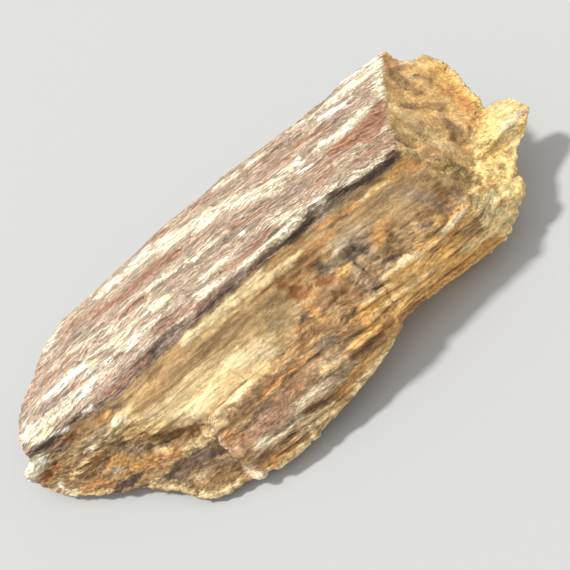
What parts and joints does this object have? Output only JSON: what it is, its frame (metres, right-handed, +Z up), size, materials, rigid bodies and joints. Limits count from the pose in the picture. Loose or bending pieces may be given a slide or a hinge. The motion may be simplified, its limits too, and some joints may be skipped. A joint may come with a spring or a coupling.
{
  "type": "petrified wood",
  "caption": "Long split shard of petrified wood with a rounded bark-side face, a torn tan face and a broken end, lying on its flat underside",
  "frame": {"origin": "centre of the bounding box, on the plane of the flat foot that the stone rests on", "axes": "+X along the grain towards the broken end with the splinter, +Y across the grain towards the bark side, +Z up from the flat foot"},
  "size_m": [0.141, 0.0684, 0.0304],
  "materials": {
    "silicified_wood": "tan, cream and brown silicified wood, split along the grain, dull with a slight gloss on the bark-side face"
  },
  "bodies": {
    "root": {"petrified_wood": "silicified_wood"}
  },
  "joints": []
}
